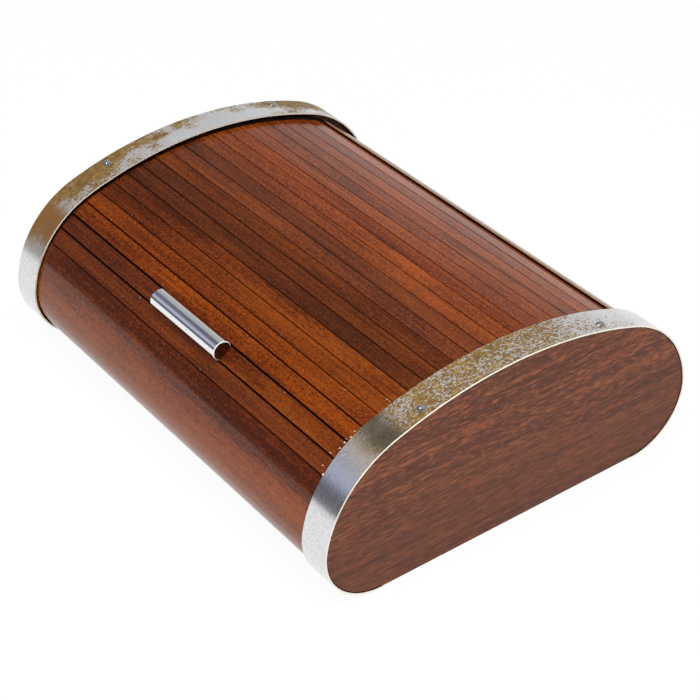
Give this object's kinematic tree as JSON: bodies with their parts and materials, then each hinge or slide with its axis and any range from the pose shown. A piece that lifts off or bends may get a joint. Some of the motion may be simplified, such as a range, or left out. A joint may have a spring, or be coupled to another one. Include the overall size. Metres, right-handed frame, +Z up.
{
  "type": "bread box",
  "caption": "Loaf-shaped wooden bread box with metal-banded ends and a slatted roll top that slides back on its pull bar.",
  "frame": {"origin": "on the table, under the middle of the box", "axes": "+X along the slats, -Y the front with the pull, +Z up"},
  "size_m": [0.4, 0.318, 0.138],
  "materials": {
    "slat_wood": "glossy lacquered mahogany",
    "board_wood": "glossy lacquered mahogany",
    "end_wood": "semi-matt mahogany",
    "inner_wood": "plain, unlacquered",
    "band_chrome": "bright plate, worn to brown patches on the top run",
    "pin_metal": "bright domed heads",
    "pull_chrome": "bright plate with a few specks",
    "screw_steel": "plain",
    "backing_cloth": "woven cotton duck"
  },
  "bodies": {
    "case": {"right_end_panel": "end_wood", "left_end_panel": "end_wood", "right_band": "band_chrome", "left_band": "band_chrome", "right_band_pins": "pin_metal", "left_band_pins": "pin_metal", "floor_board": "inner_wood", "front_apron": "board_wood", "rear_board": "board_wood", "right_bearer": "inner_wood", "left_bearer": "inner_wood", "right_rail": "inner_wood", "left_rail": "inner_wood"},
    "roll_run": {"slat_04": "slat_wood", "slat_05": "slat_wood", "slat_06": "slat_wood", "slat_07": "slat_wood", "slat_08": "slat_wood", "slat_09": "slat_wood", "slat_10": "slat_wood", "slat_11": "slat_wood", "cloth_04": "backing_cloth"},
    "roll_03": {"slat_03": "slat_wood", "cloth_03": "backing_cloth"},
    "roll_02": {"slat_02": "slat_wood", "cloth_02": "backing_cloth", "pull_bar": "pull_chrome", "pull_screw_left": "screw_steel", "pull_screw_right": "screw_steel"},
    "roll_01": {"slat_01": "slat_wood", "cloth_01": "backing_cloth"},
    "roll_12": {"slat_12": "slat_wood", "cloth_12": "backing_cloth"},
    "roll_13": {"slat_13": "slat_wood", "cloth_13": "backing_cloth"},
    "roll_14": {"slat_14": "slat_wood", "cloth_14": "backing_cloth"},
    "roll_15": {"slat_15": "slat_wood", "cloth_15": "backing_cloth"},
    "roll_16": {"slat_16": "slat_wood", "cloth_16": "backing_cloth"},
    "roll_17": {"slat_17": "slat_wood", "cloth_17": "backing_cloth"},
    "roll_18": {"slat_18": "slat_wood", "cloth_18": "backing_cloth"},
    "roll_19": {"slat_19": "slat_wood", "cloth_19": "backing_cloth"},
    "roll_20": {"slat_20": "slat_wood", "cloth_20": "backing_cloth"},
    "roll_21": {"slat_21": "slat_wood", "cloth_21": "backing_cloth"}
  },
  "joints": [
    {"name": "roll_top", "type": "hinge", "parent": "case", "child": "roll_run", "pos_m": [0, -0.0025, -0.1661], "axis": [-1, 0, 0], "range_deg": [0, 20.76]},
    {"name": "fold_03_04", "type": "hinge", "parent": "roll_run", "child": "roll_03", "pos_m": [0, -0.10517, 0.10776], "axis": [-1, 0, 0], "range_deg": [0, 5.32]},
    {"name": "fold_02_03", "type": "hinge", "parent": "roll_03", "child": "roll_02", "pos_m": [0, -0.11641, 0.10204], "axis": [-1, 0, 0], "range_deg": [0, 7.48]},
    {"name": "fold_01_02", "type": "hinge", "parent": "roll_02", "child": "roll_01", "pos_m": [0, -0.12647, 0.09445], "axis": [-1, 0, 0], "range_deg": [0, 7.61]},
    {"name": "fold_11_12", "type": "hinge", "parent": "roll_run", "child": "roll_12", "pos_m": [0, -0.00656, 0.12637], "axis": [-1, 0, 0], "range_deg": [0, 7.04]},
    {"name": "fold_12_13", "type": "hinge", "parent": "roll_12", "child": "roll_13", "pos_m": [0, 0.00605, 0.12627], "axis": [-1, 0, 0], "range_deg": [0, 15.66]},
    {"name": "fold_13_14", "type": "hinge", "parent": "roll_13", "child": "roll_14", "pos_m": [0, 0.01864, 0.12563], "axis": [-1, 0, 0], "range_deg": [0, 15.68]},
    {"name": "fold_14_15", "type": "hinge", "parent": "roll_14", "child": "roll_15", "pos_m": [0, 0.03119, 0.12445], "axis": [-1, 0, 0], "range_deg": [0, 15.68]},
    {"name": "fold_15_16", "type": "hinge", "parent": "roll_15", "child": "roll_16", "pos_m": [0, 0.04367, 0.12273], "axis": [-1, 0, 0], "range_deg": [0, 15.68]},
    {"name": "fold_16_17", "type": "hinge", "parent": "roll_16", "child": "roll_17", "pos_m": [0, 0.05608, 0.12047], "axis": [-1, 0, 0], "range_deg": [0, 15.68]},
    {"name": "fold_17_18", "type": "hinge", "parent": "roll_17", "child": "roll_18", "pos_m": [0, 0.06837, 0.11768], "axis": [-1, 0, 0], "range_deg": [0, 15.68]},
    {"name": "fold_18_19", "type": "hinge", "parent": "roll_18", "child": "roll_19", "pos_m": [0, 0.08053, 0.11437], "axis": [-1, 0, 0], "range_deg": [0, 15.68]},
    {"name": "fold_19_20", "type": "hinge", "parent": "roll_19", "child": "roll_20", "pos_m": [0, 0.09254, 0.11053], "axis": [-1, 0, 0], "range_deg": [0, 13.41]},
    {"name": "fold_20_21", "type": "hinge", "parent": "roll_20", "child": "roll_21", "pos_m": [0, 0.10419, 0.10571], "axis": [-1, 0, 0], "range_deg": [0, 6.7]}
  ],
  "couplings": [
    {"joint": "fold_03_04", "follows": "roll_top", "ratio": 0.25546},
    {"joint": "fold_02_03", "follows": "roll_top", "ratio": 0.35919},
    {"joint": "fold_01_02", "follows": "roll_top", "ratio": 0.36529},
    {"joint": "fold_11_12", "follows": "roll_top", "ratio": 0.33825},
    {"joint": "fold_12_13", "follows": "roll_top", "ratio": 0.75326},
    {"joint": "fold_13_14", "follows": "roll_top", "ratio": 0.75434},
    {"joint": "fold_14_15", "follows": "roll_top", "ratio": 0.75434},
    {"joint": "fold_15_16", "follows": "roll_top", "ratio": 0.75434},
    {"joint": "fold_16_17", "follows": "roll_top", "ratio": 0.75434},
    {"joint": "fold_17_18", "follows": "roll_top", "ratio": 0.75434},
    {"joint": "fold_18_19", "follows": "roll_top", "ratio": 0.75434},
    {"joint": "fold_19_20", "follows": "roll_top", "ratio": 0.64481},
    {"joint": "fold_20_21", "follows": "roll_top", "ratio": 0.32148}
  ]
}
